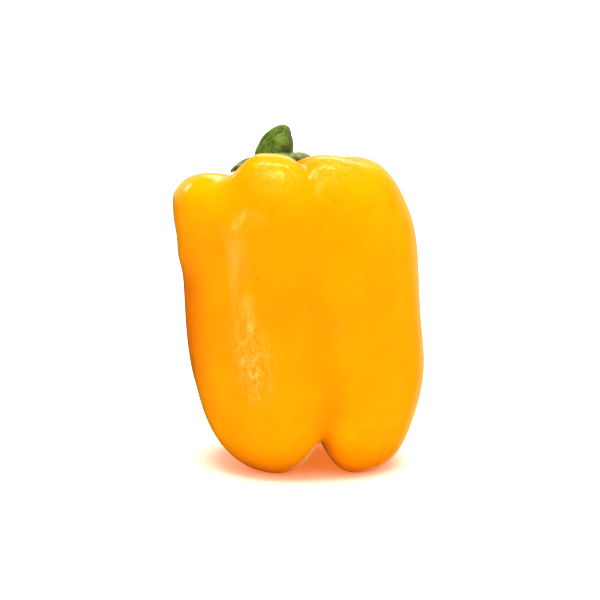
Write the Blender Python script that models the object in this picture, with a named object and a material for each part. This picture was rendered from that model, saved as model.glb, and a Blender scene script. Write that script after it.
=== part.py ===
"""A blocky bell pepper with its stem, standing on the tips of its four lobes.

Metres, +Z up. Seen from the front, -Y, the stem end leans to the left, -X. The origin is in the middle of the
fruit's footprint, on the surface that it stands on.
"""

import math
from collections import namedtuple

import bmesh
import bpy
from mathutils import Vector
from mathutils.bvhtree import BVHTree

MM = 0.001

# The axis that the lobes are set round runs from the blossom end to the stem end, and leans.
BLOSSOM_END_X = 7.0 * MM
STEM_END_X = -8.0 * MM
STEM_END_Y = 1.0 * MM
STEM_END_HEIGHT = 101.0 * MM

# Low, middle, high and corner are a lobe's reach from the axis on its way up to the shoulder, shoulder is how
# high that stands, and floor is the height of the fruit next to the stem on that side.
Lobe = namedtuple("Lobe", "low middle high corner shoulder floor")
LOBES = (
    Lobe(37.6 * MM, 38.0 * MM, 35.8 * MM, 34.0 * MM, 107.4 * MM, 103.8 * MM),
    Lobe(35.0 * MM, 43.4 * MM, 45.2 * MM, 41.2 * MM, 104.8 * MM, 104.0 * MM),
    Lobe(36.0 * MM, 40.0 * MM, 40.0 * MM, 38.5 * MM, 96.5 * MM, 99.5 * MM),
    Lobe(36.0 * MM, 37.2 * MM, 35.0 * MM, 36.9 * MM, 97.6 * MM, 95.5 * MM),
)
# The groove after each lobe: its bearings at the blossom end and at the stem end in degrees, counted from the
# front towards the right, how far it wanders on its way, its depth as shares of the usual depth, and how many
# times narrower than usual it is at the shoulders.
Groove = namedtuple("Groove", "low_bearing high_bearing wander bottom side corner top narrow")
GROOVES = (
    Groove(0.0, 21.5, 6.0, 1.0, 0.35, 0.6, 0.75, 3.0),
    Groove(92.0, 116.0, -3.0, 1.0, 1.1, 1.0, 1.0, 1.0),
    Groove(178.0, 200.0, 4.0, 1.0, 1.2, 1.0, 1.0, 1.0),
    Groove(262.0, 319.0, 0.0, 0.8, 0.05, 0.25, 0.9, 2.4),
)

# How a groove cuts in across the lobes: a higher fullness makes it narrower, a higher rounding softer.
Zone = namedtuple("Zone", "fullness rounding")
ZONES = {"bottom": Zone(3.2, 0.05), "side": Zone(2.0, 0.7), "corner": Zone(2.2, 0.3), "top": Zone(2.0, 0.10)}
SHOULDER_ZONES = ("corner", "top")

# The outline of a lobe from the blossom end to the stem end, as the control points of a B-spline: distance
# from the axis as a share of the reach named, height, what that height is measured from, and the groove's way
# in and way up from there.
Control = namedtuple("Control", "out reach height above groove_in groove_up zone")
OUTLINE = (
    Control(0.00, "low", 10.0 * MM, "ground", 0.0, 0.0, "bottom"),
    Control(0.26, "low", 7.5 * MM, "ground", 0.0, 3.0 * MM, "bottom"),
    Control(0.54, "low", -2.7 * MM, "ground", 0.0, 12.5 * MM, "bottom"),
    Control(0.86, "low", 2.4 * MM, "ground", 1.5 * MM, 11.0 * MM, "bottom"),
    Control(1.06, "low", 17.0 * MM, "ground", 3.2 * MM, 3.0 * MM, "bottom"),
    Control(1.04, "middle", 33.0 * MM, "ground", 3.2 * MM, 0.0, "side"),
    Control(1.02, "middle", 50.0 * MM, "ground", 3.0 * MM, 0.0, "side"),
    Control(1.02, "high", 67.0 * MM, "ground", 3.0 * MM, 0.0, "side"),
    Control(1.04, "high", -20.0 * MM, "shoulder", 3.5 * MM, 0.0, "side"),
    Control(0.98, "corner", -6.5 * MM, "shoulder", 4.0 * MM, -1.5 * MM, "corner"),
    Control(0.80, "corner", 1.4 * MM, "shoulder", 2.5 * MM, -4.5 * MM, "top"),
    Control(0.52, "corner", 0.0 * MM, "shoulder", 0.0, -4.5 * MM, "top"),
    Control(0.33, "corner", 0.0 * MM, "floor", 0.0, -1.5 * MM, "top"),
    Control(0.15, "corner", 101.3 * MM, "ground", 0.0, 0.0, "top"),
    Control(0.00, "corner", 101.3 * MM, "ground", 0.0, 0.0, "top"),
)

# Knobs and dents: where they are, by bearing and height, their half sizes round and up, and how far they stand
# out and up. They fade out towards the stem.
Knob = namedtuple("Knob", "bearing height half_round half_up out up")
KNOBS = (
    Knob(38.0, 106.0 * MM, 20.0, 9.0 * MM, 0.0, 1.3 * MM),
    Knob(-31.0, 106.0 * MM, 13.0, 10.0 * MM, 0.0, -3.4 * MM),
    Knob(-80.0, 92.0 * MM, 14.0, 3.5 * MM, 0.9 * MM, 0.0),
    Knob(84.0, 99.0 * MM, 25.0, 7.0 * MM, 0.9 * MM, 0.0),
    Knob(-84.0, 85.0 * MM, 16.0, 5.0 * MM, 0.4 * MM, 0.0),
    Knob(-84.0, 71.5 * MM, 20.0, 4.5 * MM, 0.7 * MM, 0.0),
)
KNOB_FADE_START = 10.0 * MM
KNOB_FADE_END = 24.0 * MM

FRUIT_COLUMNS_PER_LOBE = 18
FRUIT_ROWS = 52
# How much closer together the columns are in a groove than on average, as a share of that average.
COLUMN_CROWDING = 0.55

# The stem grows out of the middle of the calyx, goes up and bends over to the right, where it is cut off.
STEM_FOOT_X = -7.6 * MM
STEM_FOOT_Y = 1.0 * MM
STEM_BEND_START = 104.7 * MM
STEM_BEND_RADIUS = 6.0 * MM
STEM_BEND_DEG = 78.0
STEM_BEND_BEARING = 83.0
STEM_RIDGES = 5
STEM_RIDGE_SHARE = 0.07

# The calyx lies on the fruit with a hair's gap under it, and stands clear of it where the fruit falls away.
# The rise is how much its own level climbs to the right and to the back, the droop bends it down towards its edge.
CALYX_RADIUS = 11.6 * MM
CALYX_GAP = 0.2 * MM
CALYX_THICKNESS = 1.3 * MM
CALYX_LEVEL = 102.6 * MM
CALYX_RISE = (0.10, -0.18)
CALYX_DROOP = 11.0
CALYX_EASE = 0.6 * MM
HIGH_ABOVE = 200.0 * MM

# Each tooth stands out from the calyx's round edge: its bearing, its length and how far its tip curls up.
Tooth = namedtuple("Tooth", "bearing length curl")
TOOTH_HALF_WIDTH = 24.0
CURL_POWER = 6
TEETH = (
    Tooth(-66.0, 4.6 * MM, 0.0),
    Tooth(-24.0, 1.6 * MM, 0.0),
    Tooth(30.0, 2.2 * MM, 0.0),
    Tooth(88.0, 0.9 * MM, 0.2 * MM),
    Tooth(150.0, 2.6 * MM, 0.5 * MM),
    Tooth(222.0, 3.0 * MM, 0.0),
)

# The outline from the calyx's edge to the cut, as control points of a B-spline. On the calyx these are shares
# of its reach and of its thickness. On the stem they are a radius and a share of the way round the bend.
CALYX_OUTLINE = ((1.0, 0.5), (0.98, 1.1), (0.84, 1.9), (0.66, 2.6))
STEM_OUTLINE = (
    (7.0 * MM, -0.15),
    (6.6 * MM, 0.1),
    (6.2 * MM, 0.35),
    (5.8 * MM, 0.6),
    (5.5 * MM, 0.82),
    (5.0 * MM, 0.98),
    (4.1 * MM, 1.08),
    (2.5 * MM, 1.06),
)

STEM_COLUMNS = 40
STEM_ROWS = 34
# The share of the rows that the calyx's underside takes.
UNDERSIDE = 0.2

FRUIT_COLOUR = (0.95, 0.41, 0.01, 1.0)
FRUIT_ROUGHNESS = 0.3
STEM_COLOUR = (0.15, 0.26, 0.05, 1.0)
STEM_ROUGHNESS = 0.6


def clear_scene():
    for obj in list(bpy.data.objects):
        bpy.data.objects.remove(obj)


def make_material(name, colour, roughness):
    material = bpy.data.materials.new(name)
    material.use_nodes = True
    shader = material.node_tree.nodes["Principled BSDF"]
    shader.inputs["Base Color"].default_value = colour
    shader.inputs["Roughness"].default_value = roughness
    shader.inputs["Metallic"].default_value = 0.0
    return material


def smooth(share):
    return share * share * (3.0 - 2.0 * share)


def groove_bearing(k, share):
    """The bearing of the groove after lobe k, in degrees, a share of the way up the axis."""
    groove = GROOVES[k % len(GROOVES)]
    bearing = groove.low_bearing + (groove.high_bearing - groove.low_bearing) * share
    wander = groove.wander * math.sin(2.0 * math.pi * max(0.0, min(share, 1.0)))
    return bearing + wander + 360.0 * (k // len(GROOVES))


def lobe_values(k, across):
    """The lobes' values across lobe k, from -1 to 1, changing smoothly from one lobe's middle to the next."""
    own = LOBES[k]
    other = LOBES[(k + (1 if across > 0.0 else -1)) % len(LOBES)]
    share = smooth(abs(across) / 2.0)
    return Lobe(*((1.0 - share) * a + share * b for a, b in zip(own, other)))


def hollowness(across, zone, narrow):
    """How far down its groove a point is, from 0 on a lobe's middle to 1 in the groove's rounded foot."""
    near = 1.0 - abs(across)
    whole = math.hypot(1.0, zone.rounding) - zone.rounding
    eased = (math.hypot(near, zone.rounding) - zone.rounding) / whole
    return (1.0 - eased) ** (zone.fullness * narrow)


def groove_depths(across, groove):
    """How deep the groove is in each zone, as shares of its usual depth."""
    depths = {}
    for name, zone in ZONES.items():
        narrow = groove.narrow if name in SHOULDER_ZONES else 1.0
        depths[name] = hollowness(across, zone, narrow) * getattr(groove, name)
    return depths


def control_points(k, across):
    """The outline's control points across lobe k, as (distance from the axis, height)."""
    lobe = lobe_values(k, across)
    groove = GROOVES[k if across > 0.0 else k - 1]
    depths = groove_depths(across, groove)
    bases = {"ground": 0.0, "shoulder": lobe.shoulder, "floor": lobe.floor}
    points = []
    for c in OUTLINE:
        depth = depths[c.zone]
        out = c.out * getattr(lobe, c.reach) - c.groove_in * depth
        points.append((out, bases[c.above] + c.height + c.groove_up * depth))
    first, last = points[1], points[-2]
    return [(-first[0], first[1]), *points, (-last[0], last[1])]


def b_spline(points, share):
    """The point at a share of the way along a uniform cubic B-spline."""
    spans = len(points) - 3
    at = min(share * spans, spans - 1e-9)
    k = int(at)
    u = at - k
    weights = (
        (1.0 - u) ** 3 / 6.0,
        (3.0 * u**3 - 6.0 * u**2 + 4.0) / 6.0,
        (-3.0 * u**3 + 3.0 * u**2 + 3.0 * u + 1.0) / 6.0,
        u**3 / 6.0,
    )
    first, *others = (w * Vector(p) for w, p in zip(weights, points[k : k + 4]))
    return sum(others, first)


def add_knobs(bearing, out, height):
    """Moves a point of the fruit, given by its bearing in degrees, its distance from the axis and its height."""
    fade = smooth(max(0.0, min((out - KNOB_FADE_START) / (KNOB_FADE_END - KNOB_FADE_START), 1.0)))
    more_out, more_up = 0.0, 0.0
    for knob in KNOBS:
        away = ((bearing - knob.bearing + 180.0) % 360.0 - 180.0) / knob.half_round
        share = fade * math.exp(-(away**2) - ((height - knob.height) / knob.half_up) ** 2)
        more_out += knob.out * share
        more_up += knob.up * share
    return out + more_out, height + more_up


def fruit_point(turn, share):
    """The fruit's surface, a share of a turn round and a share of the way up from the blossom end."""
    k = int(turn * len(LOBES)) % len(LOBES)
    along = turn * len(LOBES) % 1.0
    along -= COLUMN_CROWDING * math.sin(2.0 * math.pi * along) / (2.0 * math.pi)
    across = 2.0 * along - 1.0
    out, height = b_spline(control_points(k, across), share)
    up = height / STEM_END_HEIGHT
    before, after = groove_bearing(k - 1, up), groove_bearing(k, up)
    bearing = before + (after - before) * along
    out, height = add_knobs(bearing, out, height)
    bearing = math.radians(bearing)
    x = BLOSSOM_END_X + (STEM_END_X - BLOSSOM_END_X) * up
    return Vector((x + out * math.sin(bearing), STEM_END_Y * up - out * math.cos(bearing), height))


def flatten_feet(mesh):
    """Cuts the lobes' tips off at the surface, which leaves a small flat foot under each."""
    everything = [*mesh.verts, *mesh.edges, *mesh.faces]
    ground, up = (0.0, 0.0, 0.0), (0.0, 0.0, 1.0)
    cut = bmesh.ops.bisect_plane(mesh, geom=everything, plane_co=ground, plane_no=up, clear_inner=True)
    rims = [part for part in cut["geom_cut"] if isinstance(part, bmesh.types.BMEdge)]
    bmesh.ops.holes_fill(mesh, edges=rims)


def shaped_sphere(columns, rows, place):
    """A sphere whose vertices are moved to place(turn, share): shares of a turn and of the way up."""
    mesh = bmesh.new()
    bmesh.ops.create_uvsphere(mesh, u_segments=columns, v_segments=rows, radius=1.0)
    for vertex in mesh.verts:
        x, y, z = vertex.co
        turn = round(math.atan2(x, -y) / (2.0 * math.pi) * columns) % columns / columns
        vertex.co = place(turn, math.acos(max(-1.0, min(1.0, -z))) / math.pi)
    return mesh


def make_fruit():
    mesh = shaped_sphere(FRUIT_COLUMNS_PER_LOBE * len(LOBES), FRUIT_ROWS, fruit_point)
    flatten_feet(mesh)
    return mesh


def bend_point(share):
    """The middle of the stem a share of the way round its bend, and the direction in which it runs there."""
    bearing = math.radians(STEM_BEND_BEARING)
    side = Vector((math.sin(bearing), -math.cos(bearing), 0.0))
    up = Vector((0.0, 0.0, 1.0))
    foot = Vector((STEM_FOOT_X, STEM_FOOT_Y, STEM_BEND_START))
    full = math.radians(STEM_BEND_DEG)
    angle = full * max(0.0, min(share, 1.0))
    point = foot + STEM_BEND_RADIUS * ((1.0 - math.cos(angle)) * side + math.sin(angle) * up)
    along = math.sin(angle) * side + math.cos(angle) * up
    beyond = (share * full - angle) * STEM_BEND_RADIUS
    return point + beyond * along, along


def stem_ring_point(bearing, out, share):
    """A point round the stem, a share of the way round its bend."""
    middle, along = bend_point(share)
    turn = Vector((0.0, 0.0, 1.0)).rotation_difference(along)
    ridge = 1.0 + STEM_RIDGE_SHARE * math.cos(STEM_RIDGES * bearing)
    return middle + turn @ Vector((math.sin(bearing), -math.cos(bearing), 0.0)) * out * ridge


def calyx_edge(bearing):
    """How far the calyx reaches at a bearing, and how far its edge curls up there."""
    reach, curl = CALYX_RADIUS, 0.0
    for tooth in TEETH:
        away = abs((math.degrees(bearing) - tooth.bearing + 180.0) % 360.0 - 180.0) / TOOTH_HALF_WIDTH
        sharp = max(0.0, 1.0 - away) ** 2
        reach += tooth.length * sharp
        curl += tooth.curl * sharp
    return reach, curl


def calyx_point(bearing, share, thickness, fruit):
    """A point of the calyx, a share of the way out to its edge and a thickness above its underside."""
    reach, curl = calyx_edge(bearing)
    x = share * reach * math.sin(bearing)
    y = -share * reach * math.cos(bearing)
    own_level = CALYX_LEVEL + CALYX_RISE[0] * x + CALYX_RISE[1] * y - CALYX_DROOP * (x * x + y * y)
    x, y = x + STEM_FOOT_X, y + STEM_FOOT_Y
    on_fruit = fruit.ray_cast(Vector((x, y, HIGH_ABOVE)), Vector((0.0, 0.0, -1.0)))[0].z + CALYX_GAP
    underside = (own_level + on_fruit + math.hypot(own_level - on_fruit, CALYX_EASE)) / 2.0
    return Vector((x, y, underside + thickness + curl * share**CURL_POWER))


def stem_point(bearing, share, fruit):
    """The stem's surface: the calyx's underside up to UNDERSIDE, then over its edge and up to the cut."""
    if share < UNDERSIDE:
        return calyx_point(bearing, share / UNDERSIDE, 0.0, fruit)
    points = [calyx_point(bearing, out, up * CALYX_THICKNESS, fruit) for out, up in CALYX_OUTLINE]
    points += [stem_ring_point(bearing, out, up) for out, up in STEM_OUTLINE]
    before = 2.0 * points[0] - points[1]
    end = bend_point(STEM_OUTLINE[-1][1])[0]
    beyond = 2.0 * end - points[-1]
    return b_spline([before, *points, end, beyond], (share - UNDERSIDE) / (1.0 - UNDERSIDE))


def make_stem(fruit_mesh):
    """The stem and its calyx: a sphere whose lower rows lie on the fruit and whose others are drawn out."""
    fruit = BVHTree.FromBMesh(fruit_mesh)

    def place(turn, share):
        return stem_point(2.0 * math.pi * turn, share, fruit)

    return shaped_sphere(STEM_COLUMNS, STEM_ROWS, place)


def add_object(name, mesh, material, collection):
    bmesh.ops.recalc_face_normals(mesh, faces=mesh.faces)
    data = bpy.data.meshes.new(name)
    mesh.to_mesh(data)
    data.materials.append(material)
    data.shade_smooth()
    obj = bpy.data.objects.new(name, data)
    collection.objects.link(obj)
    return obj


def centre_on_origin(*meshes):
    """Moves the pieces together so that the origin is in the middle of their footprint."""
    places = [vertex.co for mesh in meshes for vertex in mesh.verts]
    middle = [(min(p[i] for p in places) + max(p[i] for p in places)) / 2.0 for i in (0, 1)]
    for mesh in meshes:
        bmesh.ops.translate(mesh, verts=mesh.verts, vec=(-middle[0], -middle[1], 0.0))


def main():
    clear_scene()
    collection = bpy.data.collections.new("bell_pepper")
    bpy.context.scene.collection.children.link(collection)
    fruit = make_fruit()
    stem = make_stem(fruit)
    centre_on_origin(fruit, stem)
    add_object("fruit", fruit, make_material("fruit_skin", FRUIT_COLOUR, FRUIT_ROUGHNESS), collection)
    add_object("stem", stem, make_material("stem_green", STEM_COLOUR, STEM_ROUGHNESS), collection)
    fruit.free()
    stem.free()


main()
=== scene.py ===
"""The looks of a blocky bell pepper: its skin, its stem with the calyx, the floor, the light and the camera.

Metres, +Z up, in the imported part's frame. Seen from the front, -Y, the stem end leans to the left, -X. The
skin and the stem follow the same outlines as the part's solids, on finer meshes and with their small relief.
"""

import math
from collections import namedtuple

import bpy
import numpy as np
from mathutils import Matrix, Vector, noise
from mathutils.bvhtree import BVHTree


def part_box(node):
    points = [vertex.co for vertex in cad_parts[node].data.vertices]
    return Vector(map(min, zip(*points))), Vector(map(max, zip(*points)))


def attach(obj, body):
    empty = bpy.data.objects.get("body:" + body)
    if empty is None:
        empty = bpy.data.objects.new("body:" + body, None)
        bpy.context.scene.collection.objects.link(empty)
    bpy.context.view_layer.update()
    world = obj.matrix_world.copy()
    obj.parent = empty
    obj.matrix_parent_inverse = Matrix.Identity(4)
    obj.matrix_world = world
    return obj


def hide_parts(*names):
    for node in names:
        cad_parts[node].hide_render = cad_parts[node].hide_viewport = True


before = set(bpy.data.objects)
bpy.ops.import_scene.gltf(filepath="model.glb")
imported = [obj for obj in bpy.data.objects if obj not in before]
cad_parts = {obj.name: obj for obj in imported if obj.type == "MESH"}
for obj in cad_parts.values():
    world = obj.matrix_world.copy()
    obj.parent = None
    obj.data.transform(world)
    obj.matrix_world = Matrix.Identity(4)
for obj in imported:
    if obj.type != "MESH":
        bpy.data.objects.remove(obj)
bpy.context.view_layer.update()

MM = 0.001

# The axis that the lobes are set round runs from the blossom end to the stem end, and leans.
BLOSSOM_END_X = 7.0 * MM
STEM_END_X = -8.0 * MM
STEM_END_Y = 1.0 * MM
STEM_END_HEIGHT = 101.0 * MM

# Low, middle, high and corner are a lobe's reach from the axis on its way up to the shoulder, shoulder is how
# high that stands, and floor is the height of the fruit next to the stem on that side.
Lobe = namedtuple("Lobe", "low middle high corner shoulder floor")
LOBES = (
    Lobe(37.6 * MM, 38.0 * MM, 35.8 * MM, 34.0 * MM, 107.4 * MM, 103.8 * MM),
    Lobe(35.0 * MM, 43.4 * MM, 45.2 * MM, 41.2 * MM, 104.8 * MM, 104.0 * MM),
    Lobe(36.0 * MM, 40.0 * MM, 40.0 * MM, 38.5 * MM, 96.5 * MM, 99.5 * MM),
    Lobe(36.0 * MM, 37.2 * MM, 35.0 * MM, 36.9 * MM, 97.6 * MM, 95.5 * MM),
)
# The groove after each lobe: its bearings at the blossom end and at the stem end in degrees, counted from the
# front towards the right, how far it wanders on its way, its depth as shares of the usual depth, and how many
# times narrower than usual it is at the shoulders.
Groove = namedtuple("Groove", "low_bearing high_bearing wander bottom side corner top narrow")
GROOVES = (
    Groove(0.0, 21.5, 6.0, 1.0, 0.35, 0.6, 0.75, 3.0),
    Groove(92.0, 116.0, -3.0, 1.0, 1.1, 1.0, 1.0, 1.0),
    Groove(178.0, 200.0, 4.0, 1.0, 1.2, 1.0, 1.0, 1.0),
    Groove(262.0, 319.0, 0.0, 0.8, 0.03, 0.05, 0.65, 2.2),
)

# How a groove cuts in across the lobes: a higher fullness makes it narrower, a higher rounding softer.
Zone = namedtuple("Zone", "fullness rounding")
ZONES = {"bottom": Zone(3.2, 0.05), "side": Zone(2.0, 0.7), "corner": Zone(2.2, 0.3), "top": Zone(2.0, 0.10)}
SHOULDER_ZONES = ("corner", "top")

# The outline of a lobe from the blossom end to the stem end, as the control points of a B-spline: distance
# from the axis as a share of the reach named, height, what that height is measured from, and the groove's way
# in and way up from there.
Control = namedtuple("Control", "out reach height above groove_in groove_up zone")
OUTLINE = (
    Control(0.00, "low", 10.0 * MM, "ground", 0.0, 0.0, "bottom"),
    Control(0.26, "low", 7.5 * MM, "ground", 0.0, 3.0 * MM, "bottom"),
    Control(0.54, "low", -2.7 * MM, "ground", 0.0, 12.5 * MM, "bottom"),
    Control(0.86, "low", 2.4 * MM, "ground", 1.5 * MM, 11.0 * MM, "bottom"),
    Control(1.06, "low", 17.0 * MM, "ground", 3.2 * MM, 3.0 * MM, "bottom"),
    Control(1.04, "middle", 33.0 * MM, "ground", 3.2 * MM, 0.0, "side"),
    Control(1.02, "middle", 50.0 * MM, "ground", 3.0 * MM, 0.0, "side"),
    Control(1.02, "high", 67.0 * MM, "ground", 3.0 * MM, 0.0, "side"),
    Control(1.04, "high", -20.0 * MM, "shoulder", 3.5 * MM, 0.0, "side"),
    Control(0.98, "corner", -6.5 * MM, "shoulder", 4.0 * MM, -1.5 * MM, "corner"),
    Control(0.80, "corner", 1.4 * MM, "shoulder", 2.5 * MM, -4.5 * MM, "top"),
    Control(0.52, "corner", 0.0 * MM, "shoulder", 0.0, -4.5 * MM, "top"),
    Control(0.33, "corner", 0.0 * MM, "floor", 0.0, -1.5 * MM, "top"),
    Control(0.15, "corner", 101.3 * MM, "ground", 0.0, 0.0, "top"),
    Control(0.00, "corner", 101.3 * MM, "ground", 0.0, 0.0, "top"),
)

# Knobs and dents: where they are, by bearing and height, their half sizes round and up, and how far they
# stand out and up. They fade out towards the stem between two distances from the axis.
Knob = namedtuple("Knob", "bearing height half_round half_up out up")
KNOBS = (
    Knob(38.0, 106.0 * MM, 20.0, 9.0 * MM, 0.0, 1.3 * MM),
    Knob(-31.0, 106.0 * MM, 13.0, 10.0 * MM, 0.0, -3.4 * MM),
    Knob(-80.0, 92.0 * MM, 14.0, 3.5 * MM, 0.9 * MM, 0.0),
    Knob(84.0, 99.0 * MM, 25.0, 7.0 * MM, 0.9 * MM, 0.0),
    Knob(-84.0, 85.0 * MM, 16.0, 5.0 * MM, 0.4 * MM, 0.0),
    Knob(-84.0, 71.5 * MM, 20.0, 4.5 * MM, 0.7 * MM, 0.0),
    Knob(-32.0, 66.0 * MM, 8.5, 11.0 * MM, 0.45 * MM, 0.0),
    Knob(-57.0, 88.0 * MM, 13.0, 12.0 * MM, 1.3 * MM, 0.0),
)
KNOB_FADE = (10.0 * MM, 24.0 * MM)

# A patch of wrinkled skin on the front: its middle and half sizes across and up, how far it leans to the
# right, in degrees, and how wrinkled it is, up to 1.
Patch = namedtuple("Patch", "x z half_x half_z lean share")
PATCHES = (
    Patch(-15.0 * MM, 42.0 * MM, 6.0 * MM, 13.0 * MM, -14.0, 1.0),
    Patch(-20.0 * MM, 82.0 * MM, 5.0 * MM, 10.0 * MM, 12.0, 0.08),
    Patch(-7.3 * MM, 101.5 * MM, 8.0 * MM, 6.0 * MM, 0.0, 0.35),
    Patch(11.5 * MM, 103.0 * MM, 8.0 * MM, 5.0 * MM, 0.0, 0.35),
    Patch(13.4 * MM, 53.0 * MM, 3.5 * MM, 6.0 * MM, 0.0, 0.16),
)
# A patch sets in at this many times its half size from its middle, and is full at that many.
PATCH_EDGE = (1.5, 0.3)
# The creases in the mesh: their size, width and depth, and the share that heights count for, which draws them
# out upwards. They wind by a share of their size, in bends that are so many times as broad.
WRINKLE_SIZE = 3.0 * MM
WRINKLE_WIDTH = 0.25
WRINKLE_DEPTH = 0.04 * MM
WRINKLE_STRETCH = 0.45
WINDING = 0.7
WINDING_SIZE = 2.0

# Broad unevenness of the skin, as (size of its features, height).
UNEVENNESS = ((34.0 * MM, 0.35 * MM), (13.0 * MM, 0.10 * MM), (5.0 * MM, 0.022 * MM))
# Long faint swellings that run up the lobes.
BAND_WIDTH = 5.0 * MM
BAND_STRETCH = 0.12
BAND_HEIGHT = 0.05 * MM
# The rows next to the skin's two ends over which its relief sets in.
SKIN_RELIEF_ROWS = 12.0

# Where each noise starts, so that no two are alike, and how far apart two of them in a row are.
WRINKLE_SEED = 11
UNEVENNESS_SEED = 31
BAND_SEED = 41
STEM_SEED = 51
CUT_SEED = 61
SEED_STEP = (17.3, -9.1, 5.7)

SKIN_COLUMNS_PER_LOBE = 96
SKIN_ROWS = 256
# How much closer together the columns are in a groove than on average, as a share of that average.
COLUMN_CROWDING = 0.35
# Points along the outline that the rows are spaced by.
OUTLINE_SAMPLES = 2000
# Next to nothing: what keeps the end of a spline in its last span, and a division from being by zero.
END_MARGIN = 1e-9
LEAST_LENGTH = 1e-12

# The stem grows out of the middle of the calyx, goes up and bends over to the right, where it is cut off.
STEM_FOOT_X = -7.6 * MM
STEM_FOOT_Y = 1.0 * MM
STEM_BEND_START = 104.7 * MM
STEM_BEND_RADIUS = 6.0 * MM
STEM_BEND_DEG = 78.0
STEM_BEND_BEARING = 83.0
STEM_RIDGES = 5
STEM_RIDGE_SHARE = 0.07

# The calyx lies on the fruit with a hair's gap under it, and stands clear of it where the fruit falls away.
# The rise is how much its own level climbs to the right and to the back, the droop how much it falls with the
# square of the distance from the middle, and the ease how softly it passes over into the fruit's level.
CALYX_RADIUS = 11.6 * MM
CALYX_GAP = 0.2 * MM
CALYX_THICKNESS = 1.3 * MM
CALYX_LEVEL = 102.6 * MM
CALYX_RISE = (0.10, -0.18)
CALYX_DROOP = 11.0
CALYX_EASE = 0.6 * MM
# A height well above the fruit, to look down at it from.
HIGH_ABOVE = 200.0 * MM

# Each tooth stands out from the calyx's round edge: its bearing, its length and how far its tip curls up. The
# higher the curl's power, the nearer the tip the curl begins.
Tooth = namedtuple("Tooth", "bearing length curl")
TOOTH_HALF_WIDTH = 24.0
CURL_POWER = 6
TEETH = (
    Tooth(-66.0, 4.6 * MM, 0.0),
    Tooth(-24.0, 1.6 * MM, 0.0),
    Tooth(30.0, 2.2 * MM, 0.0),
    Tooth(88.0, 0.9 * MM, 0.2 * MM),
    Tooth(150.0, 2.6 * MM, 0.5 * MM),
    Tooth(222.0, 3.0 * MM, 0.0),
)

# The outline from the calyx's edge to the cut, as control points of a B-spline. On the calyx these are shares
# of its reach and of its thickness. On the stem they are a radius and a share of the way round the bend.
CALYX_OUTLINE = ((1.0, 0.5), (0.98, 1.1), (0.84, 1.9), (0.66, 2.6))
STEM_OUTLINE = (
    (7.0 * MM, -0.15),
    (6.6 * MM, 0.1),
    (6.2 * MM, 0.35),
    (5.8 * MM, 0.6),
    (5.5 * MM, 0.82),
    (5.0 * MM, 0.98),
    (4.1 * MM, 1.08),
    (2.5 * MM, 1.06),
)

# How far the calyx's edge is ragged, and how many rags wide its radius is.
RAGGED = 0.7 * MM
RAGS_ROUND = 5.0

# Small relief of the stem, as (size of its features, height), and what is rougher on the cut.
STEM_RELIEF = ((3.0 * MM, 0.16 * MM), (1.1 * MM, 0.07 * MM))
CUT_RELIEF = ((1.3 * MM, 0.22 * MM), (0.6 * MM, 0.12 * MM))

# Where the calyx passes into the stem and where the cut begins, as shares of the way along the spline.
CALYX_END = (0.25, 0.40)
CUT_START = (0.80, 0.875)
# Where the calyx's edge begins and where it is full, as shares of the same way and, on its underside, of the
# way out.
CALYX_RIM = (0.12, 0.0)
UNDERSIDE_RIM = (0.7, 1.0)

STEM_COLUMNS = 240
STEM_ROWS = 200
# The share of the rows that the calyx's underside takes, and over how many rows beyond it the relief sets in.
UNDERSIDE = 0.2
STEM_RELIEF_ROWS = 10

# What a noise in a material is like: how fine it is, how much detail it has, the values at which it sets in
# and is full, and how rough and how twisted it is.
Grain = namedtuple("Grain", "scale detail low high rough twist", defaults=(0.0, 1.0, 0.5, 0.0))
# A colour that comes over another, and the most of it that is mixed in.
Tint = namedtuple("Tint", "colour share")

# The skin's colours by height, as shares of this. Over the skin's own orange yellow they hold painted light
# and shade: the deeper orange at the very bottom is painted shade, and the lighter band low down and the
# yellower top are painted light.
SKIN_TOP = 115.0 * MM
SKIN_COLOURS_AND_PAINTED_LIGHT = (
    (0.03, (0.68, 0.218, 0.0, 1.0)),
    (0.13, (0.68, 0.284, 0.0, 1.0)),
    (0.35, (0.68, 0.248, 0.0, 1.0)),
    (0.62, (0.68, 0.250, 0.0, 1.0)),
    (0.76, (0.69, 0.242, 0.0, 1.0)),
    (0.92, (0.70, 0.28, 0.0, 1.0)),
)

# Painted shade on the left lobe's flank, a deeper orange, and painted light on its crown, paler and yellower,
# and where they set in and are full, by X and by height.
FLANK_SHADE = Tint((0.55, 0.105, 0.0, 1.0), 0.95)
FLANK_SHADE_X = (-26.0 * MM, -40.0 * MM)
FLANK_SHADE_Z = (78.0 * MM, 61.0 * MM)
CROWN_LIGHT = Tint((0.72, 0.30, 0.0, 1.0), 1.0)
CROWN_LIGHT_X = (-16.0 * MM, -28.0 * MM)
CROWN_LIGHT_Z = (78.0 * MM, 92.0 * MM)

# Orange blotches, and paler streaks, drawn out upwards because heights count only for a share.
BLOTCHES = Tint((0.67, 0.16, 0.0, 1.0), 0.35)
BLOTCH_GRAIN = Grain(70.0, 3.0, 0.35, 0.7)
STREAKS = Tint((0.70, 0.26, 0.0, 1.0), 0.22)
STREAK_GRAIN = Grain(240.0, 3.0, 0.45, 0.7, 0.6)
STREAK_STRETCH = 0.12

# Dark specks: how many cells a metre has, each with a speck at its middle, and how far from there a speck
# sets in and is full.
SPECKS = Tint((0.42, 0.14, 0.0, 1.0), 1.0)
SPECK_CELLS = 62.0
SPECK_SIZE = (0.034, 0.015)

# Painted shade in the grooves, a deeper orange: how deep in a groove it sets in and is full, and the heights
# between which it goes from its weaker to its stronger share, the stronger one near the bottom.
GROOVE_SHADE = Tint((0.65, 0.13, 0.0, 1.0), 1.0)
GROOVE_SHADE_EDGE = (0.75, 1.0)
GROOVE_SHADE_Z = (42.0 * MM, 8.0 * MM)
GROOVE_SHADE_SHARES = (0.12, 0.5)

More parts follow.
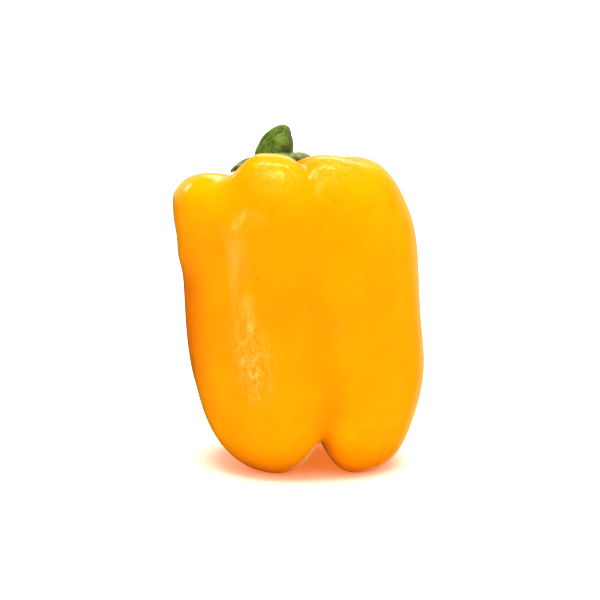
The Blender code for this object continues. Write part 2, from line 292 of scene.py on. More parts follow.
# Dry, pale skin where it is wrinkled, partly the skin's own and partly a painted sheen where the highlights
# lie.
DRY_SKIN_AND_SHEEN = Tint((0.80, 0.43, 0.07, 1.0), 0.36)
DRY_AND_SHEEN_GRAIN = Grain(560.0, 3.0, 0.40, 0.62, 0.6)

# Fine creases along the lines where a noise crosses its middle, with swellings between them. The first depth
# is that of the wrinkled skin, the second is added everywhere.
CREASE_STRETCH = 0.55
CREASE_GRAIN = Grain(560.0, 1.5, 0.0, 0.06, 0.5, 1.2)
NOISE_MIDDLE = 0.5
SWELLING_GRAIN = Grain(420.0, 1.0, rough=0.5, twist=0.6)
SWELLING_SHARE = 1.3
CREASE_DEPTH = 0.15 * MM
EVERYWHERE_DEPTH = 0.004 * MM
# The unevenness that makes the gloss waver, and the skin's roughness from its least to its most.
FINE_GRAIN = Grain(900.0, 3.0, rough=0.55, twist=0.6)
FINE_STRENGTH = 0.08
FINE_DEPTH = 0.4 * MM
GLOSS_GRAIN = Grain(260.0, 3.0, 0.3, 0.7)
SKIN_ROUGHNESS = (0.08, 0.13)

# The stem's greens, with fibres that follow it up and round the bend, ribs and spots.
DARK_GREEN = (0.024, 0.056, 0.005, 1.0)
GREEN = (0.072, 0.126, 0.011, 1.0)
GREEN_GRAIN = Grain(420.0, 4.0, 0.36, 0.60)
PALE_GREEN = (0.14, 0.20, 0.03, 1.0)
PALE_FIBRES = Grain(7.0, 4.0, 0.48, 0.66, 0.6)
DARK_FIBRES = Grain(11.0, 3.0, 0.56, 0.68, 0.5, 0.3)
PALE_RIBS = Tint(PALE_GREEN, 0.7)
RIB_GRAIN = Grain(260.0, 3.0, 0.35, 0.65)
DARK_SPOTS = Tint((0.015, 0.03, 0.006, 1.0), 0.6)
SPOT_CELLS = 230.0
SPOT_SIZE = (0.15, 0.08)

# The calyx and its torn edge, and the dry cut with its pits.
DARK_CALYX = (0.055, 0.085, 0.018, 1.0)
PALE_CALYX = (0.19, 0.21, 0.08, 1.0)
CALYX_GRAIN = Grain(350.0, 4.0, 0.35, 0.65)
TORN_EDGE = (0.045, 0.05, 0.025, 1.0)
TORN_GRAIN = Grain(600.0, 3.0, 0.38, 0.6)
DARK_WOOD = (0.03, 0.034, 0.016, 1.0)
PALE_WOOD = (0.125, 0.13, 0.07, 1.0)
WOOD_GRAIN = Grain(800.0, 4.0, 0.4, 0.6)
PITS = (0.012, 0.01, 0.008, 1.0)
PIT_GRAIN = Grain(1300.0, 2.0, 0.56, 0.64)

# The stem's rough skin: its bump's grain, strength and depth, and its roughness from its least to its most.
STEM_GRAIN = Grain(900.0, 4.0, 0.3, 0.7, 0.6)
STEM_BUMP_STRENGTH = 0.6
STEM_BUMP_DEPTH = 0.6 * MM
STEM_ROUGHNESS = (0.5, 0.75)

# The floor is a square this far to each side. It glows orange all over, painted light that stands in for the
# warm light that comes through the pepper: it warms the shadow and lights the pepper from below.
FLOOR_HALF = 8.0
FLOOR_COLOUR = (0.66, 0.74, 0.69, 1.0)
FLOOR_PAINTED_GLOW = (1.0, 0.22, 0.0, 1.0)
FLOOR_PAINTED_GLOW_STRENGTH = 0.55

BLACK = (0.0, 0.0, 0.0, 1.0)
WHITE = (1.0, 1.0, 1.0, 1.0)

# The even light round the pepper, and how much stronger it is on the right. The gloss sees a dim warm room
# instead.
FILL_LEVEL = 1.22
FILL_TO_THE_RIGHT = 0.35
ROOM_LEVEL = 0.06
ROOM_COLOUR = (1.0, 0.7, 0.15, 1.0)

# A light from behind that only the gloss sees, for thin pale rims. The pairs are where it sets in and where
# it is full: behind by the direction's Y, and there on the right by X, above by Z, or at level edges by both.
RIM_STRENGTH = 0.8
RIM_COLOUR = (1.0, 0.88, 0.45, 1.0)
RIM_BEHIND = (0.55, 0.95)
RIM_RIGHT = (-0.05, 0.25)
RIM_ABOVE = (-0.13, 0.06)
RIM_LEVEL_Z = (-0.24, -0.14)
RIM_LEVEL_X = (-0.25, -0.08)

# Bright panels that only the gloss sees: the bearing and the elevation of their middles in degrees, their
# half sizes and soft edges as sines, and how far they lean to the right for each step up.
Panel = namedtuple("Panel", "bearing elevation half_across half_up soft lean strength")
PANELS = (
    Panel(-43.3, 2.0, 0.045, 0.13, 0.03, 0.97, 7.2),
    Panel(-63.0, -11.0, 0.02, 0.07, 0.03, -0.5, 2.6),
    Panel(-52.0, -15.0, 0.08, 0.045, 0.03, 0.0, 6.0),
    Panel(-13.0, 57.0, 0.13, 0.09, 0.06, 0.0, 9.5),
    Panel(0.0, 84.0, 0.28, 0.06, 0.05, 0.0, 11.0),
    Panel(-136.0, 22.0, 0.06, 0.07, 0.07, 0.0, 4.0),
    Panel(171.0, 38.0, 0.20, 0.10, 0.15, 0.0, 2.6),
)
# A panel shines only on its own side of the room. It sets in and is full at these cosines from its middle.
PANEL_SIDE = (0.2, 0.4)

# A broad sun from above: where it stands, what it points at, its strength and how many degrees it spreads.
SUN_PLACE = (40.0 * MM, -60.0 * MM, 1.0)
SUN_AIM = (0.0, 0.0, 55.0 * MM)
SUN_ENERGY = 5.2
SUN_SPREAD = 45.0

# The camera stands in front and looks a little down.
CAMERA_DISTANCE = 750.0 * MM
CAMERA_ELEVATION = 10.0
CAMERA_LENS = 132.35
CAMERA_SENSOR = 36.0
CAMERA_AIM = (0.5 * MM, 0.0, 55.5 * MM)


def smooth(share):
    return share * share * (3.0 - 2.0 * share)


def ramp(values, low, high):
    """From 0 at low to 1 at high, with soft ends. High may be below low."""
    return smooth(np.clip((values - low) / (high - low), 0.0, 1.0))


def spline_basis(count, shares):
    """What weight each of count control points has at each share of the way along a cubic B-spline."""
    spans = count - 3
    at = np.minimum(shares * spans, spans - END_MARGIN)
    first = at.astype(int)
    u = at - first
    weights = (
        (1.0 - u) ** 3 / 6.0,
        (3.0 * u**3 - 6.0 * u**2 + 4.0) / 6.0,
        (-3.0 * u**3 + 3.0 * u**2 + 3.0 * u + 1.0) / 6.0,
        u**3 / 6.0,
    )
    basis = np.zeros((len(shares), count))
    for step, weight in enumerate(weights):
        basis[np.arange(len(shares)), first + step] = weight
    return basis


def groove_bearing(k, share):
    """The bearings of the groove after lobe k, in degrees, at shares of the way up the axis."""
    groove = GROOVES[k % len(GROOVES)]
    bearing = groove.low_bearing + (groove.high_bearing - groove.low_bearing) * share
    wander = groove.wander * np.sin(2.0 * math.pi * np.clip(share, 0.0, 1.0))
    return bearing + wander + 360.0 * (k // len(GROOVES))


def lobe_values(k, across):
    """The lobes' values across lobe k, from -1 to 1, changing smoothly from one lobe's middle to the next."""
    own = LOBES[k]
    other = LOBES[(k + (1 if across > 0.0 else -1)) % len(LOBES)]
    share = smooth(abs(across) / 2.0)
    return Lobe(*((1.0 - share) * a + share * b for a, b in zip(own, other)))


def hollowness(across, zone, narrow):
    """How far down its groove a point is, from 0 on a lobe's middle to 1 in the groove's rounded foot."""
    near = 1.0 - abs(across)
    whole = math.hypot(1.0, zone.rounding) - zone.rounding
    eased = (math.hypot(near, zone.rounding) - zone.rounding) / whole
    return (1.0 - eased) ** (zone.fullness * narrow)


def groove_depths(across, groove):
    """How deep the groove is in each zone, as shares of its usual depth."""
    depths = {}
    for name, zone in ZONES.items():
        narrow = groove.narrow if name in SHOULDER_ZONES else 1.0
        depths[name] = hollowness(across, zone, narrow) * getattr(groove, name)
    return depths


def control_points(k, across):
    """The outline's control points across lobe k, as (distance from the axis, height)."""
    lobe = lobe_values(k, across)
    groove = GROOVES[k if across > 0.0 else k - 1]
    depths = groove_depths(across, groove)
    bases = {"ground": 0.0, "shoulder": lobe.shoulder, "floor": lobe.floor}
    points = []
    for c in OUTLINE:
        depth = depths[c.zone]
        out = c.out * getattr(lobe, c.reach) - c.groove_in * depth
        points.append((out, bases[c.above] + c.height + c.groove_up * depth))
    first, last = points[1], points[-2]
    return [(-first[0], first[1]), *points, (-last[0], last[1])]


def even_shares(rows):
    """Shares along the spline that space the rows evenly up a lobe's middle."""
    fine = np.linspace(0.0, 1.0, OUTLINE_SAMPLES)
    points = np.array(control_points(0, 0.0))
    line = spline_basis(len(points), fine) @ points
    length = np.concatenate([[0.0], np.cumsum(np.hypot(*np.diff(line, axis=0).T))])
    return np.interp(np.linspace(0.0, length[-1], rows + 1), length, fine)


def add_knobs(bearing, out, height):
    """Moves the points of a column, given by bearing in degrees, distance from the axis and height."""
    fade = ramp(out, *KNOB_FADE)
    more_out, more_up = np.zeros(len(out)), np.zeros(len(out))
    for knob in KNOBS:
        away = ((bearing - knob.bearing + 180.0) % 360.0 - 180.0) / knob.half_round
        share = fade * np.exp(-(away**2) - ((height - knob.height) / knob.half_up) ** 2)
        more_out += knob.out * share
        more_up += knob.up * share
    return out + more_out, height + more_up


def crowded(along):
    """A share of the way across a lobe, moved so that columns crowd in the grooves on both its sides."""
    return along - COLUMN_CROWDING * math.sin(2.0 * math.pi * along) / (2.0 * math.pi)


def skin_column(turn, basis):
    """The fruit's surface from the blossom end to the stem end, at a share of a turn round."""
    k = int(turn * len(LOBES)) % len(LOBES)
    along = crowded(turn * len(LOBES) % 1.0)
    out, height = (basis @ np.array(control_points(k, 2.0 * along - 1.0))).T
    up = height / STEM_END_HEIGHT
    before, after = groove_bearing(k - 1, up), groove_bearing(k, up)
    bearing = before + (after - before) * along
    out, height = add_knobs(bearing, out, height)
    bearing = np.radians(bearing)
    x = BLOSSOM_END_X + (STEM_END_X - BLOSSOM_END_X) * up
    return np.stack([x + out * np.sin(bearing), STEM_END_Y * up - out * np.cos(bearing), height], axis=1)


def skin_grid():
    """The fruit's surface as rows from the blossom end up, of points round it, before its small relief."""
    basis = spline_basis(len(OUTLINE) + 2, even_shares(SKIN_ROWS))
    columns = SKIN_COLUMNS_PER_LOBE * len(LOBES)
    return np.stack([skin_column(c / columns, basis) for c in range(columns)], axis=1)


def grid_normals(grid):
    """Outward directions at a grid's points. The first and last rows are single points."""
    round_ = np.roll(grid, -1, axis=1) - np.roll(grid, 1, axis=1)
    up = np.gradient(grid, axis=0)
    normals = np.cross(round_, up)
    normals[0] = (0.0, 0.0, -1.0)
    normals[-1] = (0.0, 0.0, 1.0)
    return normals / np.maximum(np.linalg.norm(normals, axis=2, keepdims=True), LEAST_LENGTH)


def noise_at(places, size, seed):
    """Smooth noise from about -1 to 1 at each place, with features about size across."""
    shift = Vector([step * seed for step in SEED_STEP])
    return np.array([noise.noise(Vector(p) + shift) for p in places / size])


def layered_noise(places, layers, seed):
    """Noises on top of each other, given as (size of features, height)."""
    total = np.zeros(len(places))
    for step, (size, height) in enumerate(layers):
        total += height * noise_at(places, size, seed + step)
    return total


def creases(places, size, width, seed):
    """Winding creases, 1 in their middles and 0 between them."""
    bend = np.stack([noise_at(places, WINDING_SIZE * size, seed + step) for step in (1, 2, 3)], axis=1)
    value = noise_at(places + WINDING * size * bend, size, seed)
    return smooth(np.clip(1.0 - np.abs(value) / width, 0.0, 1.0))


def patch_share(places, patch):
    """How much of a patch's wrinkles a place has, from 0 to 1."""
    lean = math.radians(patch.lean)
    x, z = places[:, 0] - patch.x, places[:, 2] - patch.z
    across = (x * math.cos(lean) - z * math.sin(lean)) / patch.half_x
    up = (x * math.sin(lean) + z * math.cos(lean)) / patch.half_z
    away = np.hypot(across, up)
    return ramp(away, *PATCH_EDGE) * (places[:, 1] < 0.0)


def wrinkled_share(places):
    """How wrinkled the skin is at each place, from 0 to 1."""
    return np.max([patch.share * patch_share(places, patch) for patch in PATCHES], axis=0)


def wrinkle_relief(places):
    """How far the skin goes in at the creases of its patches."""
    share = wrinkled_share(places)
    near = share > 0.0
    squeezed = places[near] * np.array([1.0, 1.0, WRINKLE_STRETCH])
    lines = creases(squeezed, WRINKLE_SIZE, WRINKLE_WIDTH, WRINKLE_SEED)
    inward = np.zeros(len(places))
    inward[near] = WRINKLE_DEPTH * share[near] * lines
    return inward


def broad_relief(places):
    """How far the skin stands out in broad, low swellings."""
    bands = places * np.array([1.0, 1.0, BAND_STRETCH])
    uneven = layered_noise(places, UNEVENNESS, UNEVENNESS_SEED)
    return uneven + BAND_HEIGHT * noise_at(bands, BAND_WIDTH, BAND_SEED)


def add_relief(grid):
    """Moves a grid's points in and out along their directions by the skin's relief."""
    places = grid.reshape(-1, 3)
    outward = broad_relief(places) - wrinkle_relief(places)
    outward = outward.reshape(grid.shape[:2])
    ends = np.minimum(np.arange(len(grid)), len(grid) - 1 - np.arange(len(grid)))
    outward *= ramp(ends, 0.0, SKIN_RELIEF_ROWS)[:, None]
    return grid + grid_normals(grid) * outward[:, :, None]


def grid_mesh(name, grid):
    """A closed mesh from a grid whose first and last rows are single points."""
    rows, columns = len(grid) - 1, grid.shape[1]
    places = [grid[0, 0], *grid[1:rows].reshape(-1, 3), grid[rows, 0]]
    top = len(places) - 1
    beside = [(c, (c + 1) % columns) for c in range(columns)]
    faces = [(0, 1 + b, 1 + a) for a, b in beside]
    for r in range(rows - 2):
        low, high = 1 + r * columns, 1 + (r + 1) * columns
        faces += [(low + a, low + b, high + b, high + a) for a, b in beside]
    last = 1 + (rows - 2) * columns
    faces += [(last + a, last + b, top) for a, b in beside]
    data = bpy.data.meshes.new(name)
    data.from_pydata(places, [], faces)
    data.validate()
    data.shade_smooth()
    return data


def add_values(data, name, grid):
    """Gives a mesh that was made from a grid a named attribute, from a like grid of values."""
    values = np.concatenate([[grid[0, 0]], grid[1:-1].ravel(), [grid[-1, 0]]])
    attribute = data.attributes.new(name, "FLOAT", "POINT")
    attribute.data.foreach_set("value", values.astype(np.float32))


def groove_values():
    """How near a groove's foot each column of the skin is, from 0 in a lobe's middle to 1."""
    columns = range(SKIN_COLUMNS_PER_LOBE * len(LOBES))
    return np.array([abs(2.0 * crowded(c / SKIN_COLUMNS_PER_LOBE % 1.0) - 1.0) for c in columns])


def add_object(name, data):
    obj = bpy.data.objects.new(name, data)
    bpy.context.scene.collection.objects.link(obj)
    return obj


def make_skin(material):
    """The fruit's skin, and how far it was moved to lie on the CAD's fruit."""
    grid = skin_grid()
    low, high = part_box("fruit")
    middle = (grid.min(axis=(0, 1)) + grid.max(axis=(0, 1))) / 2.0
    shift = np.array([(low.x + high.x) / 2.0 - middle[0], (low.y + high.y) / 2.0 - middle[1], 0.0])
    grid = add_relief(grid) + shift
    grid[:, :, 2] = np.maximum(grid[:, :, 2], 0.0)
    data = grid_mesh("fruit_skin", grid)
    add_values(data, "groove", np.tile(groove_values(), (len(grid), 1)))
    add_values(data, "wrinkled", wrinkled_share(grid.reshape(-1, 3)).reshape(grid.shape[:2]))
    data.materials.append(material)
    return add_object("fruit_skin", data), shift


def bend_point(share):
    """The middle of the stem a share of the way round its bend, and the direction in which it runs there."""
    bearing = math.radians(STEM_BEND_BEARING)
    side = Vector((math.sin(bearing), -math.cos(bearing), 0.0))
    up = Vector((0.0, 0.0, 1.0))
    foot = Vector((STEM_FOOT_X, STEM_FOOT_Y, STEM_BEND_START))
    full = math.radians(STEM_BEND_DEG)
    angle = full * max(0.0, min(share, 1.0))
    point = foot + STEM_BEND_RADIUS * ((1.0 - math.cos(angle)) * side + math.sin(angle) * up)
    along = math.sin(angle) * side + math.cos(angle) * up
    beyond = (share * full - angle) * STEM_BEND_RADIUS
    return point + beyond * along, along


def stem_ring_point(bearing, out, share):
    """A point round the stem, a share of the way round its bend."""
    middle, along = bend_point(share)
    turn = Vector((0.0, 0.0, 1.0)).rotation_difference(along)
    ridge = 1.0 + STEM_RIDGE_SHARE * math.cos(STEM_RIDGES * bearing)
    return middle + turn @ Vector((math.sin(bearing), -math.cos(bearing), 0.0)) * out * ridge


def calyx_edge(bearing):
    """How far the calyx's ragged edge reaches at a bearing, and how far it curls up there."""
    round_ = Vector((math.sin(bearing), -math.cos(bearing), 0.0))
    reach, curl = CALYX_RADIUS + RAGGED * noise.noise(RAGS_ROUND * round_), 0.0
    for tooth in TEETH:
        away = abs((math.degrees(bearing) - tooth.bearing + 180.0) % 360.0 - 180.0) / TOOTH_HALF_WIDTH
        sharp = max(0.0, 1.0 - away) ** 2
        reach += tooth.length * sharp
        curl += tooth.curl * sharp
    return reach, curl


def calyx_point(bearing, share, thickness, fruit, shift):
    """A point of the calyx, a share of the way out to its edge and a thickness above its underside."""
    reach, curl = calyx_edge(bearing)
    x = share * reach * math.sin(bearing)
    y = -share * reach * math.cos(bearing)
    own_level = CALYX_LEVEL + CALYX_RISE[0] * x + CALYX_RISE[1] * y - CALYX_DROOP * (x * x + y * y)
    x, y = x + STEM_FOOT_X, y + STEM_FOOT_Y
    above = Vector((x + shift[0], y + shift[1], HIGH_ABOVE))
    on_fruit = fruit.ray_cast(above, Vector((0.0, 0.0, -1.0)))[0].z + CALYX_GAP
    underside = (own_level + on_fruit + math.hypot(own_level - on_fruit, CALYX_EASE)) / 2.0
    return Vector((x, y, underside + thickness + curl * share**CURL_POWER))


def stem_column(bearing, under, basis, fruit, shift):
    """The stem's surface at a bearing, from under its middle out to the calyx's edge and up to the cut."""
    lower = [calyx_point(bearing, share, 0.0, fruit, shift) for share in under]
    points = [calyx_point(bearing, out, up * CALYX_THICKNESS, fruit, shift) for out, up in CALYX_OUTLINE]
    points += [stem_ring_point(bearing, out, up) for out, up in STEM_OUTLINE]
    before = 2.0 * points[0] - points[1]
    end = bend_point(STEM_OUTLINE[-1][1])[0]
    beyond = 2.0 * end - points[-1]
    return np.concatenate([np.array(lower), basis @ np.array([before, *points, end, beyond])])


def stem_values(under, over):
    """The rows' values for the material, from 0 to 1: on the calyx, at its edge, on the cut and along."""
    along = np.concatenate([np.zeros(len(under)), over])
    rim = np.concatenate([ramp(under, *UNDERSIDE_RIM), ramp(over, *CALYX_RIM)])
    calyx = ramp(along, CALYX_END[1], CALYX_END[0])
    return {"calyx": calyx, "rim": rim, "cut": ramp(along, *CUT_START), "along": along}


def round_values(bearings):
    """The columns' values for the material: how near a rib, from 0 to 1, and their two directions."""
    rib = 0.5 + 0.5 * np.cos(STEM_RIDGES * bearings)
    return {"rib": rib, "side": np.sin(bearings), "front": np.cos(bearings)}


def add_stem_relief(grid, under, cut):
    """Moves the stem's points above its underside in and out, and more on its cut."""
    places = grid.reshape(-1, 3)
    everywhere = layered_noise(places, STEM_RELIEF, STEM_SEED).reshape(grid.shape[:2])
    on_cut = layered_noise(places, CUT_RELIEF, CUT_SEED).reshape(grid.shape[:2])
    outward = everywhere + on_cut * cut[:, None]
    above = ramp(np.arange(len(grid)), len(under), len(under) + STEM_RELIEF_ROWS)
    return grid + grid_normals(grid) * (outward * above[:, None])[:, :, None]


def make_stem(skin, shift, material):
    """The stem and its calyx, whose lower rows lie on the fruit and whose others are drawn out."""
    fruit = BVHTree.FromObject(skin, bpy.context.evaluated_depsgraph_get())
    under = np.linspace(0.0, 1.0, int(UNDERSIDE * STEM_ROWS), endpoint=False)
    over = np.linspace(0.0, 1.0, STEM_ROWS + 1 - len(under))
    basis = spline_basis(len(CALYX_OUTLINE) + len(STEM_OUTLINE) + 3, over)
    bearings = [2.0 * math.pi * c / STEM_COLUMNS for c in range(STEM_COLUMNS)]
    grid = np.stack([stem_column(b, under, basis, fruit, shift) for b in bearings], axis=1)
    values = stem_values(under, over)
    data = grid_mesh("stem_and_calyx", add_stem_relief(grid, under, values["cut"]) + shift)
    for name, rows in values.items():
        add_values(data, name, np.tile(rows[:, None], (1, STEM_COLUMNS)))
    for name, column in round_values(np.array(bearings)).items():
        add_values(data, name, np.tile(column, (len(grid), 1)))
    data.materials.append(material)
    return add_object("stem_and_calyx", data)


# The sockets of the mix node that take and give colours.
MIX_SHARE = 0
MIX_A = 6
MIX_B = 7
MIX_RESULT = 2


class Nodes:
    """A node tree whose nodes are added by kind and joined by name."""

    def __init__(self, tree):
        self.tree = tree

    def put(self, socket, value):
        """Links an output to a socket, or sets the socket's value."""
        if isinstance(value, bpy.types.NodeSocket):
            self.tree.links.new(value, socket)
        else:
            socket.default_value = value

    def add(self, kind, **inputs):
        """Adds a node of a kind, with its inputs' values or links by name."""
        node = self.tree.nodes.new("ShaderNode" + kind)
        for name, value in inputs.items():
            self.put(node.inputs[name.replace("_", " ")], value)
        return node

    def math(self, operation, *values):
        node = self.add("Math")
        node.operation = operation
        for socket, value in zip(node.inputs, values):
            self.put(socket, value)
        return node.outputs[0]

    def mix(self, share, a, b, blend="MIX"):
        node = self.add("Mix")
        node.data_type = "RGBA"
        node.blend_type = blend
        self.put(node.inputs[MIX_SHARE], share)
        self.put(node.inputs[MIX_A], a)
        self.put(node.inputs[MIX_B], b)
        return node.outputs[MIX_RESULT]

    def attribute(self, name):
        node = self.add("Attribute")
        node.attribute_name = name
        return node.outputs["Fac"]

    def dot(self, a, b):
        node = self.add("VectorMath")
        node.operation = "DOT_PRODUCT"
        self.put(node.inputs[0], a)
        self.put(node.inputs[1], b)
        return node.outputs["Value"]

    def grey(self, value):
        return self.add("CombineColor", Red=value, Green=value, Blue=value).outputs[0]

    def gradient(self, value, stops):
        """A colour that changes smoothly with a value from 0 to 1 along stops of (place, colour)."""
        node = self.add("ValToRGB", Fac=value)
        line = node.color_ramp
        line.interpolation = "EASE"
        while len(line.elements) < len(stops):
            line.elements.new(0.5)
        for element, (place, colour) in zip(line.elements, stops):
            element.position = place
            element.color = colour
        return node.outputs["Color"]

    def span(self, value, low, high, to_low=0.0, to_high=1.0):
        """Value from low to high, eased, as a number from to_low to to_high."""
        node = self.add("MapRange")
        node.interpolation_type = "SMOOTHSTEP"
        for socket, number in zip(node.inputs, (value, low, high, to_low, to_high)):
            self.put(socket, number)
        return node.outputs[0]

    def noise(self, places, grain):
        node = self.add(
            "TexNoise",
            Vector=places,
            Scale=grain.scale,
            Detail=grain.detail,
            Roughness=grain.rough,
            Distortion=grain.twist,
        )
        return node.outputs["Fac"]

    def grain(self, places, grain):
        """How much of a grain there is at places, from 0 to 1."""
        return self.span(self.noise(places, grain), grain.low, grain.high)

    def spots(self, places, cells, size):
        """1 at the middle of a round spot in each cell, and 0 outside it."""
        away = self.add("TexVoronoi", Vector=places, Scale=cells).outputs["Distance"]
        return self.span(away, *size)

    def stretched(self, places, stretch):
        """Places at which a noise is drawn out upwards, as heights count only for this share."""
        return self.add("Mapping", Scale=(1.0, 1.0, stretch), Vector=places).outputs[0]

    def tinted(self, colour, where, tint):
        """A colour with a tint mixed in, by a node value from 0 to 1 that says where."""
        return self.mix(self.math("MULTIPLY", where, tint.share), colour, tint.colour)

    def shade(self, **values):
        """Sets or links the surface shader's inputs."""
        shader = self.tree.nodes["Principled BSDF"]
        for name, value in values.items():
            self.put(shader.inputs[name.replace("_", " ")], value)


def new_material(name):
    material = bpy.data.materials.new(name)
    material.use_nodes = True
    return material, Nodes(material.node_tree)


def skin_colour(n, places):
    """Orange yellow, with painted light and shade by height, on the left flank and crown and in the grooves,
    and blotches, streaks, specks and dry skin with painted sheen.
    """
    axes = n.add("SeparateXYZ", Vector=places).outputs
    # Painted light and shade by height: deeper orange at the bottom, lighter low down and yellower at the
    # top.
    colour = n.gradient(n.math("DIVIDE", axes["Z"], SKIN_TOP), SKIN_COLOURS_AND_PAINTED_LIGHT)
    # Painted shade: the left lobe's lower flank, which turns away from the light, deeper orange.
    flank_shade = n.math("MULTIPLY", n.span(axes["X"], *FLANK_SHADE_X), n.span(axes["Z"], *FLANK_SHADE_Z))
    colour = n.tinted(colour, flank_shade, FLANK_SHADE)
    # Painted light: the left lobe's top, lit from above, paler and yellower.
    crown_light = n.math("MULTIPLY", n.span(axes["X"], *CROWN_LIGHT_X), n.span(axes["Z"], *CROWN_LIGHT_Z))
    colour = n.tinted(colour, crown_light, CROWN_LIGHT)
    colour = n.tinted(colour, n.grain(places, BLOTCH_GRAIN), BLOTCHES)
    colour = n.tinted(colour, n.grain(n.stretched(places, STREAK_STRETCH), STREAK_GRAIN), STREAKS)
    colour = n.tinted(colour, n.spots(places, SPECK_CELLS, SPECK_SIZE), SPECKS)
    # Painted shade: deeper orange down in the grooves, more of it towards the bottom.
    in_groove = n.span(n.attribute("groove"), *GROOVE_SHADE_EDGE)
    share = n.span(axes["Z"], *GROOVE_SHADE_Z, *GROOVE_SHADE_SHARES)
    colour = n.tinted(colour, n.math("MULTIPLY", in_groove, share), GROOVE_SHADE)
    # Dry skin and painted sheen: paler yellow on the wrinkled patches, where the highlights fall.
    dry_and_sheen = n.math("MULTIPLY", n.attribute("wrinkled"), n.grain(places, DRY_AND_SHEEN_GRAIN))
    return n.tinted(colour, dry_and_sheen, DRY_SKIN_AND_SHEEN)


def skin_bump(n, places):
    """Fine creases, deep only where the skin is wrinkled, and a faint unevenness everywhere."""
    long = n.stretched(places, CREASE_STRETCH)
    off_middle = n.math("ABSOLUTE", n.math("SUBTRACT", n.noise(long, CREASE_GRAIN), NOISE_MIDDLE))
    crease = n.span(off_middle, CREASE_GRAIN.low, CREASE_GRAIN.high)
    crease = n.math("MULTIPLY_ADD", n.noise(long, SWELLING_GRAIN), SWELLING_SHARE, crease)
    depth = n.math("MULTIPLY_ADD", n.attribute("wrinkled"), CREASE_DEPTH, EVERYWHERE_DEPTH)
    coarse = n.add("Bump", Strength=1.0, Distance=1.0, Height=n.math("MULTIPLY", crease, depth))
    fine = n.add(
        "Bump",
        Strength=FINE_STRENGTH,
        Distance=FINE_DEPTH,
        Height=n.noise(places, FINE_GRAIN),
        Normal=coarse.outputs[0],
    )
    return fine.outputs[0]


def skin_material():
    material, n = new_material("pepper_skin")
    places = n.add("TexCoord").outputs["Object"]
    gloss = n.noise(places, GLOSS_GRAIN)
    n.shade(
        Base_Color=skin_colour(n, places),
        Roughness=n.span(gloss, GLOSS_GRAIN.low, GLOSS_GRAIN.high, *SKIN_ROUGHNESS),
        IOR=1.5,
        Specular_Tint=(1.0, 0.8, 0.25, 1.0),
        Subsurface_Weight=0.25,
        Subsurface_Radius=(1.0, 0.3, 0.05),
        Subsurface_Scale=3.0 * MM,
        Normal=skin_bump(n, places),
    )
    return material


def stem_colour(n, places):
    """Green with pale and dark fibres, paler ribs and a few dark spots."""
    green = n.mix(n.grain(places, GREEN_GRAIN), DARK_GREEN, GREEN)
    side, front, along = (n.attribute(name) for name in ("side", "front", "along"))
    fibres = n.add("CombineXYZ", X=side, Y=front, Z=along).outputs[0]
    green = n.mix(n.grain(fibres, PALE_FIBRES), green, PALE_GREEN)
    green = n.mix(n.grain(fibres, DARK_FIBRES), green, DARK_GREEN)
    ribs = n.math("MULTIPLY", n.attribute("rib"), n.grain(places, RIB_GRAIN))
    green = n.tinted(green, ribs, PALE_RIBS)
    return n.tinted(green, n.spots(places, SPOT_CELLS, SPOT_SIZE), DARK_SPOTS)


def calyx_colour(n, places):
    """Pale grey green with a dark, torn edge."""
    calyx = n.mix(n.grain(places, CALYX_GRAIN), DARK_CALYX, PALE_CALYX)
    torn = n.math("MULTIPLY", n.attribute("rim"), n.grain(places, TORN_GRAIN))
    return n.mix(torn, calyx, TORN_EDGE)


def cut_colour(n, places):
    """Dry grey green wood with dark pits."""
    wood = n.mix(n.grain(places, WOOD_GRAIN), DARK_WOOD, PALE_WOOD)
    return n.mix(n.grain(places, PIT_GRAIN), wood, PITS)


def stem_material():
    material, n = new_material("stem_skin")
    places = n.add("TexCoord").outputs["Object"]
    colour = n.mix(n.attribute("calyx"), stem_colour(n, places), calyx_colour(n, places))
    colour = n.mix(n.attribute("cut"), colour, cut_colour(n, places))
    relief = n.noise(places, STEM_GRAIN)
    bump = n.add("Bump", Strength=STEM_BUMP_STRENGTH, Distance=STEM_BUMP_DEPTH, Height=relief)
    n.shade(
        Base_Color=colour,
        Roughness=n.span(relief, STEM_GRAIN.low, STEM_GRAIN.high, *STEM_ROUGHNESS),
        IOR=1.36,
        Specular_Tint=(0.75, 0.9, 0.45, 1.0),
        Normal=bump.outputs[0],
    )
    return material


def make_floor():
    """A pale floor with a painted orange glow, that runs far beyond the view, and that the skin's gloss
    doesn't see.
    """
    half = FLOOR_HALF
    data = bpy.data.meshes.new("floor")
    corners = [(-half, -half, 0.0), (half, -half, 0.0), (half, half, 0.0), (-half, half, 0.0)]
    data.from_pydata(corners, [], [(0, 1, 2, 3)])
    floor = add_object("floor", data)
    material, n = new_material("floor_white")
    n.shade(
        Base_Color=FLOOR_COLOUR,
        Roughness=0.9,
        IOR=1.05,
        # Painted light: an orange glow on the floor that warms the shadow and lights the pepper from below.
        Emission_Color=FLOOR_PAINTED_GLOW,
        Emission_Strength=FLOOR_PAINTED_GLOW_STRENGTH,
    )
    data.materials.append(material)
    floor.visible_glossy = False


def towards(bearing, elevation):
    """The direction at a bearing, counted from the front towards the right, and an elevation, in degrees."""
    bearing, elevation = math.radians(bearing), math.radians(elevation)
    flat = math.cos(elevation)
    return Vector((math.sin(bearing) * flat, -math.cos(bearing) * flat, math.sin(elevation)))


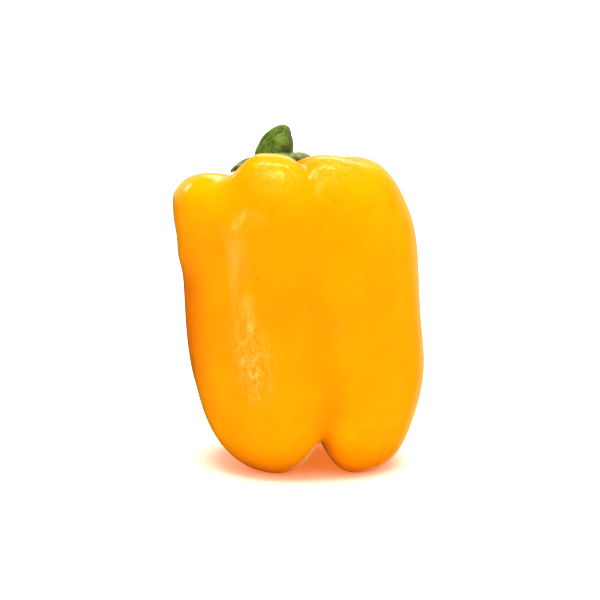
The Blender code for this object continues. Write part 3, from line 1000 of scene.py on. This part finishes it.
def panel_strength(n, direction, panel):
    """A node value: how brightly a panel shines in each direction."""
    middle = towards(panel.bearing, panel.elevation)
    side = towards(panel.bearing + 90.0, 0.0)
    up = side.cross(-middle)
    across, above = n.dot(direction, side), n.dot(direction, up)
    leaned = n.math("MULTIPLY_ADD", above, -panel.lean, across)
    strength = n.math("MULTIPLY", n.span(n.dot(direction, middle), *PANEL_SIDE), panel.strength)
    for away, half in ((leaned, panel.half_across), (above, panel.half_up)):
        away = n.math("ABSOLUTE", away)
        strength = n.math("MULTIPLY", strength, n.span(away, half + panel.soft, half))
    return strength


def rim_strength(n, axes):
    """A node value: the light from behind that draws pale rims above, on the right and on level edges."""
    behind = n.span(axes["Y"], *RIM_BEHIND)
    beside = n.math("MAXIMUM", n.span(axes["X"], *RIM_RIGHT), n.span(axes["Z"], *RIM_ABOVE))
    level = n.math("MULTIPLY", n.span(axes["Z"], *RIM_LEVEL_Z), n.span(axes["X"], *RIM_LEVEL_X))
    seen = n.math("MULTIPLY", behind, n.math("MAXIMUM", beside, level))
    return n.math("MULTIPLY", seen, RIM_STRENGTH)


def glossy_light(n, direction, axes):
    """What the gloss sees: the panels, the dim room and the light from behind."""
    panels = panel_strength(n, direction, PANELS[0])
    for panel in PANELS[1:]:
        panels = n.math("ADD", panels, panel_strength(n, direction, panel))
    room = n.mix(ROOM_LEVEL, BLACK, ROOM_COLOUR)
    rims = n.mix(rim_strength(n, axes), BLACK, RIM_COLOUR)
    return n.mix(1.0, n.mix(1.0, n.grey(panels), room, "ADD"), rims, "ADD")


def make_world():
    """White to the eye and nearly even to the skin, whose gloss sees a dim warm room with bright panels."""
    world = bpy.data.worlds.new("studio")
    bpy.context.scene.world = world
    world.use_nodes = True
    world.cycles.sampling_method = "NONE"
    n = Nodes(world.node_tree)
    direction = n.add("TexCoord").outputs["Generated"]
    axes = n.add("SeparateXYZ", Vector=direction).outputs
    fill = n.math("MULTIPLY_ADD", axes["X"], FILL_TO_THE_RIGHT, FILL_LEVEL)
    paths = n.add("LightPath").outputs
    colour = n.mix(paths["Is Glossy Ray"], n.grey(fill), glossy_light(n, direction, axes))
    colour = n.mix(paths["Is Camera Ray"], colour, WHITE)
    n.put(n.tree.nodes["Background"].inputs["Color"], colour)


def make_sun():
    data = bpy.data.lights.new("top", "SUN")
    data.energy = SUN_ENERGY
    data.angle = math.radians(SUN_SPREAD)
    sun = add_object("top", data)
    sun.location = SUN_PLACE
    direction = Vector(SUN_AIM) - Vector(SUN_PLACE)
    sun.rotation_mode = "QUATERNION"
    sun.rotation_quaternion = direction.to_track_quat("-Z", "Y")
    sun.visible_glossy = False


def make_camera():
    data = bpy.data.cameras.new("camera")
    data.lens = CAMERA_LENS
    data.sensor_width = CAMERA_SENSOR
    camera = add_object("camera", data)
    rise = math.radians(CAMERA_ELEVATION)
    back = Vector((0.0, -math.cos(rise), math.sin(rise)))
    camera.location = Vector(CAMERA_AIM) + CAMERA_DISTANCE * back
    camera.rotation_mode = "QUATERNION"
    camera.rotation_quaternion = (-back).to_track_quat("-Z", "Y")
    bpy.context.scene.camera = camera


def main():
    bpy.context.scene.view_settings.view_transform = "Standard"
    skin, shift = make_skin(skin_material())
    stem = make_stem(skin, shift, stem_material())
    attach(skin, "root")
    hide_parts("fruit")
    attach(stem, "root")
    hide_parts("stem")
    make_floor()
    make_world()
    make_sun()
    make_camera()


main()
